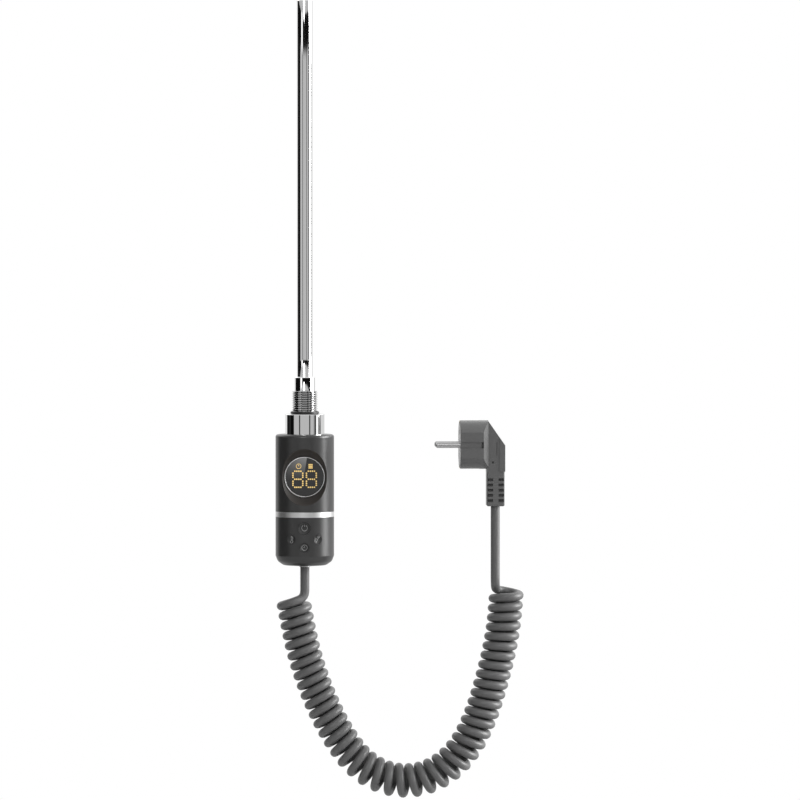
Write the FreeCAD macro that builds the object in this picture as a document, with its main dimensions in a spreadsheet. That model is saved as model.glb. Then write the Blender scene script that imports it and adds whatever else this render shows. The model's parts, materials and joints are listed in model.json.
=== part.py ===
"""Electric immersion heating rod with a round controller head, a curly mains cord and a plug.

Millimetres, +Z up along the rod, the front of the head towards -Y. The origin is on the rod's axis
at the top of the sealing ring, which is where the radiator's boss seats.
"""
import FreeCAD, Part
import Sketcher
import math
import os

os.makedirs("parts", exist_ok=True)
doc = FreeCAD.newDocument("immersion_heater")
Vector = FreeCAD.Vector
Rotation = FreeCAD.Rotation

# ---------------------------------------------------------------------------------------------
# Driving dimensions
# ---------------------------------------------------------------------------------------------
DIMENSIONS = {
    # heating rod
    "rod_radius": 6.3,
    "rod_wall": 0.8,
    "rod_base": 8.0,
    "rod_top": 331.4,
    "rod_bevel": 0.7,
    "rod_end_thickness": 5.0,
    "core_radius": 3.8,
    "core_base": 13.4,
    "core_top": 322.0,
    "winding_base": 45.0,
    "winding_top": 318.0,
    "winding_wire": 0.4,
    "end_seal_base": 8.2,
    "end_seal_top": 13.2,
    "terminal_offset": 2.5,
    "terminal_radius": 0.75,
    "terminal_top": 40.0,
    "terminal_base": -30.0,
    "connector_radius": 1.6,
    "connector_base": -32.5,
    "connector_top": -26.0,
    "sensor_radius": 1.0,
    "sensor_base": 14.0,
    "sensor_top": 50.0,
    "fuse_radius": 1.9,
    "fuse_offset": 3.6,
    "fuse_base": -10.0,
    "fuse_top": 1.0,
    "snug": 0.05,
    # threaded fitting, a G1/2 parallel pipe thread
    "collar_radius": 8.25,
    "collar_top": 27.8,
    "collar_bevel": 0.7,
    "thread_radius": 10.4775,
    "thread_top": 16.2,
    "thread_base": 0.3,
    "thread_pitch": 1.814,
    "thread_depth": 1.1,
    "thread_crest": 0.32,
    "neck_radius": 9.1,
    "flange_radius": 12.1,
    "hexagon_top": -5.3,
    "hexagon_base": -13.3,
    "hexagon_flats": 24.0,
    "spigot_radius": 10.1,
    "spigot_base": -31.0,
    "fitting_bore": 5.6,
    "swivel_ring_top": -22.8,
    "swivel_ring_base": -24.0,
    "swivel_groove_radius": 9.1,
    "swivel_ring_radius": 11.8,
    "swivel_ring_gap": 5.0,
    "swivel_seal_section": 0.65,
    "swivel_seal_height": -20.7,
    # sealing ring and cover sleeve
    "seal_thickness": 2.3,
    "seal_radius": 11.55,
    "sleeve_radius": 15.85,
    "sleeve_wall": 1.4,
    "sleeve_lip": 12.3,
    "sleeve_bevel": 0.4,
    "swivel_gap": 0.1,
    # head housing
    "head_radius": 23.6,
    "head_wall": 2.3,
    "head_top": -18.6,
    "head_top_wall": 4.0,
    "head_edge": 2.2,
    "running_gap": 0.05,
    "trim_top": -80.8,
    "trim_base": -85.1,
    "trim_edge": 0.25,
    "tongue_top": -76.0,
    "tongue_wall": 1.6,
    "head_base": -125.1,
    "head_floor": 2.8,
    "corner_top": -116.4,
    "corner_middle": -120.9,
    "corner_middle_radius": 21.9,
    "corner_foot": -124.1,
    "corner_foot_radius": 17.4,
    "corner_round": 5.0,
    "corner_crease": 1.2,
    "inside_corner_rise": 0.7,
    "inside_corner_drop": 0.3,
    "shoulder_foot": 2.6,
    "shoulder_head": 1.1,
    "cut_overrun": 0.05,
    "housing_seal_height": -78.0,
    "housing_seal_section": 0.45,
    "housing_screw_radius": 1.25,
    "housing_screw_angle": 35.0,
    "housing_screw_height": -82.95,
    # display
    "dish_radius": 24.0,
    "dish_centre": 31.3,
    "dish_wall": 2.0,
    "display_height": -52.6,
    "bezel_radius": 16.2,
    "bezel_bore": 15.6,
    "bezel_edge": 0.25,
    "bezel_front": 14.6,
    "bezel_back": 9.8,
    "bezel_flange": 17.4,
    "bezel_flange_front": 10.8,
    "lens_front": 13.9,
    "lens_thickness": 1.5,
    "dot_radius": 0.62,
    "dot_spacing": 1.62,
    "dot_thickness": 0.1,
    "digit_offset": 5.44,
    "digit_half_width": 3.95,
    "digit_drop": 1.75,
    "icon_height": 8.7,
    "icon_offset": 4.8,
    "icon_radius": 2.1,
    "icon_line": 0.4,
    "module_width": 22.0,
    "module_height": 18.0,
    "module_depth": 5.6,
    "display_board_radius": 15.4,
    "board_thickness": 1.6,
    # electronics
    "main_board_width": 34.0,
    "main_board_base": -112.0,
    "main_board_top": -34.0,
    "main_board_front": 3.0,
    "relay_width": 19.0,
    "relay_height": 15.5,
    "relay_depth": 12.0,
    "relay_base": -60.0,
    "supply_width": 20.0,
    "supply_height": 17.0,
    "supply_depth": 10.0,
    "supply_base": -82.0,
    "capacitor_radius": 4.0,
    "capacitor_length": 11.0,
    "capacitor_height": -91.0,
    "capacitor_offset": 6.0,
    "chip_width": 10.0,
    "chip_thickness": 1.6,
    "chip_base": -92.0,
    "block_width": 18.0,
    "block_height": 9.0,
    "block_depth": 9.0,
    "block_base": -110.0,
    "block_pitch": 6.0,
    "block_screw_radius": 1.5,
    "lead_radius": 0.9,
    "lead_base": -46.0,
    "lead_top": -33.6,
    "lead_depth": 2.0,
    # buttons
    "power_radius": 5.2,
    "small_button_radius": 3.9,
    "button_gap": 0.18,
    "button_rim": 0.9,
    "button_rim_thickness": 0.8,
    "button_rim_gap": 0.12,
    "button_lip": 0.25,
    "button_dish_depth": 1.2,
    "button_stem_radius": 1.2,
    "button_travel": 0.6,
    "power_height": -93.4,
    "side_button_height": -102.6,
    "side_button_angle": 27.4,
    "timer_height": -109.1,
    "button_board_front": 13.5,
    "button_board_base": -115.0,
    "button_board_top": -88.0,
    "button_board_width": 30.0,
    "switch_width": 4.5,
    "switch_depth": 2.5,
    "side_switch_offset": 7.8,
    # cord and its clamp
    "cord_radius": 3.55,
    "cord_inner_end": -112.5,
    "cord_hole_radius": 4.45,
    "cord_ring_drop": 0.5,
    "clamp_width": 18.0,
    "clamp_depth": 3.0,
    "clamp_height": 6.0,
    "clamp_base": -120.0,
    "clamp_screw_offset": 7.0,
    "clamp_screw_radius": 1.2,
    "clamp_boss_depth": 8.4,
    "coil_radius": 14.2,
    "coil_depth": 4.4,
    "coil_left_top": -148.8,
    "coil_right_top": -138.5,
    # plug
    "plug_x": 153.6,
    "plug_height": -26.9,
    "plug_yaw": 3.0,
    "plug_face": 28.9,
    "plug_back": 5.8,
    "plug_radius": 19.65,
    "plug_half_width": 16.7,
    "plug_front_round": 0.8,
    "plug_bevel_start": 10.2,
    "plug_key_height": 4.9,
    "plug_key_depth": 0.7,
    "plug_key_end": 11.9,
    "plug_key_notch": 2.2,
    "neck_half_width": 8.2,
    "neck_slope_top": 18.8,
    "neck_slope_foot": 0.4,
    "neck_side": 7.0,
    "neck_panel_side": 7.6,
    "neck_panel_start": 3.3,
    "neck_panel_rise": 0.5,
    "neck_panel_base": -21.6,
    "neck_line_width": 0.55,
    "neck_line_depth": 0.7,
    "neck_line_x": 0.5,
    "neck_line_base": -8.4,
    "neck_line_top": 2.0,
    "neck_dimple_radius": 0.95,
    "neck_dimple_depth": 1.8,
    "neck_dimple_x": -2.3,
    "neck_dimple_height": -14.2,
    "boot_side": 7.15,
    "boot_base": -49.6,
    "boot_round": 1.2,
    "boot_slot_top": -27.0,
    "boot_slot_height": 2.3,
    "boot_slot_pitch": 4.2,
    "boot_slot_depth": 3.4,
    "boot_slot_outer": 6.6,
    "boot_slot_inner": 2.2,
    "pin_radius": 2.4,
    "pin_length": 19.6,
    "pin_spacing": 19.0,
    "pin_tip": 1.6,
    "pin_root": 9.0,
    "pin_shank_radius": 2.0,
    "carrier_radius": 16.3,
    "carrier_half_width": 14.4,
    "carrier_thickness": 8.0,
    "earth_strip_width": 4.0,
    "earth_strip_thickness": 1.0,
    "earth_strip_length": 15.0,
    "earth_recess_width": 7.0,
    "earth_recess_depth": 2.2,
    "earth_hole_radius": 2.5,
    "earth_hole_offset": 10.0,
    "earth_socket_radius": 3.1,
    "earth_socket_start": 3.0,
    "earth_socket_length": 12.0,
    "earth_hole_depth": 14.0,
}

sheet = doc.addObject("Spreadsheet::Sheet", "Dims")
for row, (word, number) in enumerate(DIMENSIONS.items(), start=1):
    sheet.set(f"A{row}", word)
    sheet.set(f"B{row}", str(number))
    sheet.setAlias(f"B{row}", word)
doc.recompute()


class Size:
    """A number, kept together with the sheet formula that gives it."""

    def __init__(self, value, text):
        self.value = value
        self.text = text

    def __add__(self, other):
        other = as_size(other)
        return Size(self.value + other.value, f"({self.text} + {other.text})")

    def __sub__(self, other):
        other = as_size(other)
        return Size(self.value - other.value, f"({self.text} - {other.text})")

    def __rsub__(self, other):
        return as_size(other) - self

    def __mul__(self, factor):
        factor = as_size(factor)
        return Size(self.value * factor.value, f"({self.text} * {factor.text})")

    def __truediv__(self, divisor):
        return Size(self.value / divisor, f"({self.text} / {divisor})")

    def __neg__(self):
        return Size(-self.value, f"(0 - {self.text})")


def as_size(number):
    """A plain number as a Size."""
    if isinstance(number, Size):
        return number
    return Size(float(number), f"({float(number)})")


class Sizes:
    """Every alias of the sheet as an attribute."""

    def __getattr__(self, word):
        return Size(float(sheet.get(word)), f"Dims.{word}")


d = Sizes()


# ---------------------------------------------------------------------------------------------
# Building helpers
# ---------------------------------------------------------------------------------------------
NODES = []


def node(thing, name):
    """Keep this object as the finished piece of that name."""
    thing.Label = name
    NODES.append(thing)
    return thing


def bind(thing, **sizes):
    """Bind properties of an object to the sheet."""
    for name, size in sizes.items():
        thing.setExpression(name, as_size(size).text)
    return thing


def place(thing, x=0, y=0, z=0, rotation=None):
    """Put an object at a place that follows the sheet."""
    corner = [as_size(size) for size in (x, y, z)]
    thing.Placement = FreeCAD.Placement(Vector(*[size.value for size in corner]), rotation or Rotation())
    for letter, size in zip("xyz", corner):
        thing.setExpression(f"Placement.Base.{letter}", size.text)
    return thing


def box(name, width, depth, height, x=0, y=0, z=0, rotation=None):
    """A box with its lowest corner at x, y, z."""
    thing = bind(doc.addObject("Part::Box", name), Length=width, Width=depth, Height=height)
    return place(thing, x, y, z, rotation)


def box_about(name, width, depth, height, x=0, y=0, z=0):
    """A box centred on x, with its front at y and its base at z."""
    return box(name, width, depth, height, as_size(x) - as_size(width) / 2, y, z)


def rod(name, radius, length, x=0, y=0, z=0, rotation=None):
    """A cylinder that starts at x, y, z."""
    thing = bind(doc.addObject("Part::Cylinder", name), Radius=radius, Height=length)
    return place(thing, x, y, z, rotation)


def cut(name, base, *tools):
    """The base with every tool taken away."""
    for number, tool in enumerate(tools):
        step = doc.addObject("Part::Cut", name if tool is tools[-1] else f"{name}_step{number}")
        step.Base = base
        step.Tool = tool
        base = step
    return base


def fuse(name, *things):
    """Several shapes made one solid."""
    thing = doc.addObject("Part::MultiFuse", name)
    thing.Shapes = list(things)
    thing.Refine = True
    return thing


def common(name, one, other):
    """The space that two shapes share."""
    thing = doc.addObject("Part::Common", name)
    thing.Base = one
    thing.Tool = other
    return thing


def group(name, *things):
    """Separate solids that share one node."""
    thing = doc.addObject("Part::Compound", name)
    thing.Links = list(things)
    return thing


def origin_feature(body, role):
    """One of the body's own origin planes or axes."""
    return next(feature for feature in body.Origin.OriginFeatures if feature.Role == role)


def outline_sketch(body, role, outline):
    """A closed sketch with straight sides, each corner held by two sheet formulas."""
    sketch = body.newObject("Sketcher::SketchObject", f"{body.Name}_outline")
    sketch.AttachmentSupport = (origin_feature(body, role), "")
    sketch.MapMode = "FlatFace"
    corners = [(as_size(across), as_size(up)) for across, up in outline]
    for (across, up), (next_across, next_up) in zip(corners, corners[1:] + corners[:1]):
        start = Vector(across.value, up.value, 0)
        end = Vector(next_across.value, next_up.value, 0)
        sketch.addGeometry(Part.LineSegment(start, end))
    count = len(corners)
    for side in range(count):
        sketch.addConstraint(Sketcher.Constraint("Coincident", side, 2, (side + 1) % count, 1))
    for side, corner in enumerate(corners):
        for way, size in zip(("DistanceX", "DistanceY"), corner):
            index = sketch.addConstraint(Sketcher.Constraint(way, -1, 1, side, 1, size.value))
            sketch.setExpression(f"Constraints[{index}]", size.text)
    return sketch


def turned(name, outline):
    """A body turned about its own Z axis from an outline of (radius, height) corners."""
    body = doc.addObject("PartDesign::Body", name)
    turn = body.newObject("PartDesign::Revolution", f"{name}_turn")
    turn.Profile = outline_sketch(body, "XZ_Plane", outline)
    turn.ReferenceAxis = (origin_feature(body, "Z_Axis"), "")
    turn.Angle = 360
    body.Tip = turn
    return body


def padded(name, role, outline, thickness):
    """A body padded both ways from an outline on one of its origin planes."""
    body = doc.addObject("PartDesign::Body", name)
    pad = body.newObject("PartDesign::Pad", f"{name}_pad")
    pad.Profile = outline_sketch(body, role, outline)
    pad.Midplane = True
    pad.setExpression("Length", as_size(thickness).text)
    body.Tip = pad
    return body


def ring_edges(shape, radius, height):
    """Names of the circular edges about Z of that radius at that height."""
    names = []
    for number, edge in enumerate(shape.Edges, start=1):
        circle = edge.Curve
        if not isinstance(circle, Part.Circle):
            continue
        if abs(circle.Radius - radius.value) < 0.01 and abs(circle.Center.z - height.value) < 0.01:
            names.append(f"Edge{number}")
    return names


def dress_edges(body, kind, size, names):
    """Fillet or chamfer the named edges of a body's last feature."""
    base = body.Tip
    feature = body.newObject(f"PartDesign::{kind}", f"{body.Name}_{kind.lower()}{len(body.Group)}")
    feature.Base = (base, names)
    feature.setExpression("Radius" if kind == "Fillet" else "Size", as_size(size).text)
    body.Tip = feature
    return body


def dress(body, kind, size, *rings):
    """Fillet or chamfer the ring edges of a turned body; each ring is (radius, height)."""
    doc.recompute()
    names = []
    for radius, height in rings:
        names += ring_edges(body.Tip.Shape, as_size(radius), as_size(height))
    return dress_edges(body, kind, size, names)


FACING_FRONT = Rotation(Vector(1, 0, 0), 90)


def in_front(thing, height):
    """Turn a piece's own Z axis to point out of the front of the head, at this height."""
    return place(thing, 0, 0, height, FACING_FRONT)


def radial(angle):
    """A rotation whose Z axis points out of the head, this many degrees from the front."""
    return Rotation(Vector(0, 0, 1), angle).multiply(FACING_FRONT)


# ---------------------------------------------------------------------------------------------
# Heating rod
# ---------------------------------------------------------------------------------------------
def heating_rod():
    """The sealed cartridge: sheath, magnesia, winding on its core, terminal pins and sensor."""
    bore = d.rod_radius - d.rod_wall
    sheath = turned("heating_sheath", [
        (0, d.rod_top - d.rod_end_thickness),
        (bore, d.rod_top - d.rod_end_thickness),
        (bore, d.rod_base),
        (d.rod_radius, d.rod_base),
        (d.rod_radius, d.rod_top),
        (0, d.rod_top),
    ])
    dress(sheath, "Chamfer", d.rod_bevel, (d.rod_radius, d.rod_top))
    node(sheath, "heating_sheath")

    winding_outer = d.core_radius + d.snug + d.winding_wire
    node(turned("magnesia_fill", [
        (winding_outer + d.snug, d.core_base),
        (bore - d.snug, d.core_base),
        (bore - d.snug, d.core_top),
        (winding_outer + d.snug, d.core_top),
    ]), "magnesia_fill")
    node(turned("resistance_winding", [
        (d.core_radius + d.snug, d.winding_base),
        (winding_outer, d.winding_base),
        (winding_outer, d.winding_top),
        (d.core_radius + d.snug, d.winding_top),
    ]), "resistance_winding")

    pins = []
    core_bores = []
    seal_bores = []
    connectors = []
    pin_bore = d.terminal_radius + d.snug
    for number, side in enumerate((-1, 1)):
        x = d.terminal_offset * side
        pins.append(rod(f"terminal_pin{number}", d.terminal_radius, d.terminal_top - d.terminal_base,
                        x, 0, d.terminal_base))
        core_bores.append(rod(f"core_bore{number}", pin_bore, d.terminal_top - d.core_base + 2,
                              x, 0, d.core_base - 1))
        seal_bores.append(rod(f"end_seal_bore{number}", pin_bore, d.end_seal_top - d.end_seal_base + 2,
                              x, 0, d.end_seal_base - 1))
        crimp = rod(f"connector_barrel{number}", d.connector_radius,
                    d.connector_top - d.connector_base, x, 0, d.connector_base)
        socket = rod(f"connector_bore{number}", pin_bore, d.connector_top - d.terminal_base + 1,
                     x, 0, d.terminal_base - d.snug)
        connectors.append(cut(f"connector{number}", crimp, socket))
    node(group("terminal_pins", *pins), "terminal_pins")
    node(group("crimp_connectors", *connectors), "crimp_connectors")

    sensor_bore = rod("sensor_bore", d.sensor_radius + d.snug, d.sensor_top - d.core_base + 1,
                      0, 0, d.core_base - 0.5)
    core = rod("core_blank", d.core_radius, d.core_top - d.core_base, 0, 0, d.core_base)
    node(cut("ceramic_core", core, sensor_bore, *core_bores), "ceramic_core")
    seal = rod("end_seal_blank", bore - d.snug, d.end_seal_top - d.end_seal_base, 0, 0, d.end_seal_base)
    node(cut("sheath_end_seal", seal, *seal_bores), "sheath_end_seal")
    node(rod("temperature_sensor", d.sensor_radius, d.sensor_top - d.sensor_base,
             0, 0, d.sensor_base), "temperature_sensor")
    node(rod("thermal_fuse", d.fuse_radius, d.fuse_top - d.fuse_base,
             0, d.fuse_offset, d.fuse_base), "thermal_fuse")


# ---------------------------------------------------------------------------------------------
# Threaded fitting, sealing ring, cover sleeve and the swivel
# ---------------------------------------------------------------------------------------------
def thread_groove(body):
    """Cut the helical groove of the pipe thread into the turned blank."""
    sketch_middle = d.thread_base - d.thread_pitch / 2
    half_mouth = (d.thread_pitch - d.thread_crest) / 2
    overshoot = 0.2
    half_root = 0.14
    outline = [
        (d.thread_radius + overshoot, sketch_middle - half_mouth - overshoot / 2),
        (d.thread_radius - d.thread_depth, sketch_middle - half_root),
        (d.thread_radius - d.thread_depth, sketch_middle + half_root),
        (d.thread_radius + overshoot, sketch_middle + half_mouth + overshoot / 2),
    ]
    groove = body.newObject("PartDesign::SubtractiveHelix", "thread_groove")
    groove.Profile = outline_sketch(body, "XZ_Plane", outline)
    groove.ReferenceAxis = (origin_feature(body, "Z_Axis"), "")
    groove.Mode = 0
    groove.setExpression("Pitch", d.thread_pitch.text)
    groove.setExpression("Height", (d.thread_top - d.thread_base + d.thread_pitch).text)
    body.Tip = groove


def threaded_fitting():
    """Chromed brass: collar, G1/2 thread, flange, hexagon and the spigot the head turns on."""
    seat = d.rod_radius + d.snug
    seal_half = d.swivel_seal_section + d.snug
    seal_root = d.spigot_radius - d.swivel_seal_section * 2 - d.snug
    stub = turned("fitting_stub", [
        (seat, d.collar_top),
        (d.collar_radius, d.collar_top),
        (d.collar_radius, d.thread_top),
        (d.thread_radius, d.thread_top),
        (d.thread_radius, d.thread_base),
        (d.neck_radius, d.thread_base),
        (d.neck_radius, -d.seal_thickness),
        (d.flange_radius, -d.seal_thickness),
        (d.flange_radius, d.hexagon_top),
        (d.spigot_radius, d.hexagon_top),
        (d.spigot_radius, d.swivel_seal_height + seal_half),
        (seal_root, d.swivel_seal_height + seal_half),
        (seal_root, d.swivel_seal_height - seal_half),
        (d.spigot_radius, d.swivel_seal_height - seal_half),
        (d.spigot_radius, d.swivel_ring_top + d.snug),
        (d.swivel_groove_radius, d.swivel_ring_top + d.snug),
        (d.swivel_groove_radius, d.swivel_ring_base - d.snug),
        (d.spigot_radius, d.swivel_ring_base - d.snug),
        (d.spigot_radius, d.spigot_base),
        (d.fitting_bore, d.spigot_base),
        (d.fitting_bore, d.rod_base - d.snug),
        (seat, d.rod_base - d.snug),
    ])
    dress(stub, "Chamfer", d.collar_bevel, (d.collar_radius, d.collar_top))
    thread_groove(stub)

    hexagon = bind(doc.addObject("Part::Prism", "fitting_hexagon"),
                   Circumradius=d.hexagon_flats / math.sqrt(3), Height=d.hexagon_top - d.hexagon_base)
    hexagon.Polygon = 6
    place(hexagon, 0, 0, d.hexagon_base)
    bore = rod("hexagon_bore", d.spigot_radius - 1, d.hexagon_top - d.hexagon_base + 2,
               0, 0, d.hexagon_base - 1)
    node(fuse("threaded_fitting", stub, cut("hexagon_ring", hexagon, bore)), "threaded_fitting")


def seals_and_sleeve():
    """The parts around the fitting: sealing ring, cover sleeve, swivel ring and swivel seal."""
    ring = bind(doc.addObject("Part::Torus", "sealing_ring"),
                Radius1=d.seal_radius - d.seal_thickness / 2, Radius2=d.seal_thickness / 2)
    node(place(ring, 0, 0, -(d.seal_thickness / 2)), "sealing_ring")

    bore = d.sleeve_radius - d.sleeve_wall
    sleeve = turned("cover_sleeve", [
        (d.sleeve_lip, -d.seal_thickness),
        (d.sleeve_radius, -d.seal_thickness),
        (d.sleeve_radius, d.head_top + d.swivel_gap),
        (bore, d.head_top + d.swivel_gap),
        (bore, d.hexagon_top),
        (d.sleeve_lip, d.hexagon_top),
    ])
    dress(sleeve, "Chamfer", d.sleeve_bevel, (d.sleeve_radius, -d.seal_thickness))
    node(sleeve, "cover_sleeve")

    washer = turned("swivel_ring_washer", [
        (d.swivel_groove_radius + d.snug, d.swivel_ring_base),
        (d.swivel_ring_radius, d.swivel_ring_base),
        (d.swivel_ring_radius, d.swivel_ring_top),
        (d.swivel_groove_radius + d.snug, d.swivel_ring_top),
    ])
    mouth = box_about("swivel_ring_mouth", d.swivel_ring_gap, d.swivel_ring_radius + 1,
                      d.swivel_ring_top - d.swivel_ring_base + 2, 0, 0, d.swivel_ring_base - 1)
    node(cut("swivel_ring", washer, mouth), "swivel_ring")

    seal = bind(doc.addObject("Part::Torus", "swivel_seal"),
                Radius1=d.spigot_radius - d.swivel_seal_section - d.snug, Radius2=d.swivel_seal_section)
    node(place(seal, 0, 0, d.swivel_seal_height), "swivel_seal")


# ---------------------------------------------------------------------------------------------
# Head housing
# ---------------------------------------------------------------------------------------------
def screw_axes():
    """Angle and rotation of the two small screws at the back of the head."""
    for side in (-1, 1):
        yield side, radial(180 + side * d.housing_screw_angle.value)


def upper_housing():
    """The upper shell, scooped out in front to a spherical dish round the display."""
    bore = d.spigot_radius + d.running_gap
    inner = d.head_radius - d.head_wall
    shell = turned("upper_shell", [
        (bore, d.head_top),
        (d.head_radius, d.head_top),
        (d.head_radius, d.trim_top),
        (bore, d.trim_top),
    ])
    dress(shell, "Fillet", d.head_edge, (d.head_radius, d.head_top))

    dish = bind(doc.addObject("Part::Sphere", "dish"), Radius=d.dish_radius)
    place(dish, 0, -d.dish_centre, d.display_height)
    dish_back = bind(doc.addObject("Part::Sphere", "dish_back"), Radius=d.dish_radius + d.dish_wall)
    place(dish_back, 0, -d.dish_centre, d.display_height)
    window = rod("display_window", d.bezel_radius + d.snug, d.dish_centre)
    in_front(window, d.display_height)
    hollow = rod("upper_hollow", inner, d.head_top - d.head_top_wall - d.trim_top + 1,
                 0, 0, d.trim_top - 1)
    cavity = cut("upper_cavity", hollow, dish_back)
    node(cut("upper_housing", shell, cavity, dish, window), "upper_housing")


def trim_band():
    """The silver band between the two shells, held by the two screws behind."""
    band = turned("trim_ring", [
        (d.head_radius - d.head_wall, d.trim_base),
        (d.head_radius, d.trim_base),
        (d.head_radius, d.trim_top),
        (d.head_radius - d.head_wall, d.trim_top),
    ])
    dress(band, "Fillet", d.trim_edge, (d.head_radius, d.trim_base), (d.head_radius, d.trim_top))
    holes = []
    screws = []
    for side, rotation in screw_axes():
        holes.append(rod(f"trim_hole{side}", d.housing_screw_radius + d.snug, d.head_radius + 1,
                         0, 0, d.housing_screw_height, rotation))
        shank = rod(f"screw_shank{side}", d.housing_screw_radius, d.head_radius - 0.2,
                    0, 0, d.housing_screw_height, rotation)
        keep = rod(f"screw_inner{side}", d.head_radius - d.head_wall - d.tongue_wall - 0.6,
                   d.trim_top - d.trim_base, 0, 0, d.trim_base)
        screws.append(cut(f"housing_screw{side}", shank, keep))
    node(cut("trim_band", band, *holes), "trim_band")
    node(group("housing_screws", *screws), "housing_screws")


def button_places():
    """Name, radius, height and angle from the front of each button."""
    return [
        ("power_button", d.power_radius, d.power_height, 0.0),
        ("temperature_button", d.small_button_radius, d.side_button_height, -d.side_button_angle.value),
        ("mode_button", d.small_button_radius, d.side_button_height, d.side_button_angle.value),
        ("timer_button", d.small_button_radius, d.timer_height, 0.0),
    ]


def lower_housing():
    """The lower shell: a tongue that the trim band and upper shell fit over, and a rounded floor."""
    inner = d.head_radius - d.head_wall
    tongue_outer = inner - d.snug * 2
    tongue_inner = tongue_outer - d.tongue_wall
    seal_root = tongue_outer - d.housing_seal_section * 2
    seal_half = d.housing_seal_section + d.snug
    hole = d.cord_hole_radius
    floor = d.head_base + d.head_floor
    shell = turned("lower_shell", [
        (tongue_inner, d.tongue_top),
        (tongue_outer, d.tongue_top),
        (tongue_outer, d.housing_seal_height + seal_half),
        (seal_root, d.housing_seal_height + seal_half),
        (seal_root, d.housing_seal_height - seal_half),
        (tongue_outer, d.housing_seal_height - seal_half),
        (tongue_outer, d.trim_base),
        (d.head_radius, d.trim_base),
        (d.head_radius, d.corner_top),
        (d.corner_middle_radius, d.corner_middle),
        (d.corner_foot_radius, d.corner_foot),
        (hole, d.head_base),
        (hole, floor),
        (d.corner_foot_radius, floor + d.inside_corner_rise),
        (inner, d.corner_top - d.inside_corner_drop),
        (inner, d.trim_base - d.shoulder_foot),
        (tongue_inner, d.trim_base - d.shoulder_head),
    ])
    dress(shell, "Fillet", d.corner_crease, (d.head_radius, d.corner_top))
    dress(shell, "Fillet", d.corner_round, (d.corner_middle_radius, d.corner_middle),
          (d.corner_foot_radius, d.corner_foot))

    boss_front = d.cord_radius + d.snug
    boss = box_about("clamp_boss", d.clamp_width, d.clamp_boss_depth,
                     d.clamp_base + d.clamp_height - floor + 0.5, 0, boss_front, floor - 0.5)
    holes = [rod("cord_hole", hole, d.head_floor + d.cut_overrun * 2, 0, 0,
                 d.head_base - d.cut_overrun)]
    for name, radius, height, angle in button_places():
        holes.append(rod(f"{name}_hole", radius + d.button_gap, d.head_radius + 1,
                         0, 0, height, radial(angle)))
    for side, rotation in screw_axes():
        holes.append(rod(f"tongue_hole{side}", d.housing_screw_radius + d.snug, d.head_radius + 1,
                         0, 0, d.housing_screw_height, rotation))
    for side in (-1, 1):
        holes.append(rod(f"boss_hole{side}", d.clamp_screw_radius + d.snug, d.clamp_boss_depth,
                         d.clamp_screw_offset * side, d.cord_radius + d.clamp_boss_depth - 1,
                         d.clamp_base + d.clamp_height / 2, FACING_FRONT))
    node(cut("lower_housing", fuse("lower_shell_boss", shell, boss), *holes), "lower_housing")

    seal = bind(doc.addObject("Part::Torus", "housing_seal"),
                Radius1=tongue_outer - d.housing_seal_section, Radius2=d.housing_seal_section)
    node(place(seal, 0, 0, d.housing_seal_height), "housing_seal")


def stem_reach(angle):
    """Distance from the head's axis at which a stem pressed home just clears its switch."""
    turn = math.radians(angle)
    front = d.button_board_front + d.switch_depth + d.snug * 2 + d.button_travel
    return (front + d.button_stem_radius * abs(math.sin(turn))) / math.cos(turn)


def buttons():
    """Round caps with a dished face, flush with the round shell, and a rim that keeps them in."""
    for name, radius, height, angle in button_places():
        rotation = radial(angle)
        face = rod(f"{name}_face", radius, d.head_radius + 1, 0, 0, height, rotation)
        skin = rod(f"{name}_skin", d.head_radius, radius * 3, 0, 0, height - radius * 1.5)
        flush = common(f"{name}_flush", face, skin)

        rim_radius = radius + d.button_rim
        inner = d.head_radius.value - d.head_wall.value
        drop = inner - math.sqrt(inner ** 2 - rim_radius.value ** 2)
        rim_front = d.head_radius - d.head_wall - drop - d.button_rim_gap
        rim_back = rim_front - d.button_rim_thickness
        inside = rod(f"{name}_inside", radius * 2, rim_back, 0, 0, height, rotation)
        cap = cut(f"{name}_cap", flush, inside)
        rim = rod(f"{name}_rim", rim_radius, rim_front, 0, 0, height, rotation)
        stem = rod(f"{name}_stem", d.button_stem_radius, d.head_radius - d.button_dish_depth - 1,
                   0, 0, height, rotation)
        stem_end = rod(f"{name}_stem_end", radius * 3, stem_reach(angle), 0, 0, height, rotation)

        sagitta = d.head_radius.value - math.sqrt(d.head_radius.value ** 2 - radius.value ** 2)
        depth = d.button_dish_depth.value + sagitta / 2
        reach = radius.value - d.button_lip.value
        ball_radius = (reach ** 2 + depth ** 2) / (2 * depth)
        ball = doc.addObject("Part::Sphere", f"{name}_ball")
        ball.Radius = ball_radius
        out = rotation.multVec(Vector(0, 0, d.head_radius.value - sagitta / 2 - depth + ball_radius))
        place(ball, out.x, out.y, height + out.z)
        pressed = fuse(f"{name}_blank", cap, cut(f"{name}_flange", rim, inside),
                       cut(f"{name}_foot", stem, stem_end))
        node(cut(name, pressed, ball), name)


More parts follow.
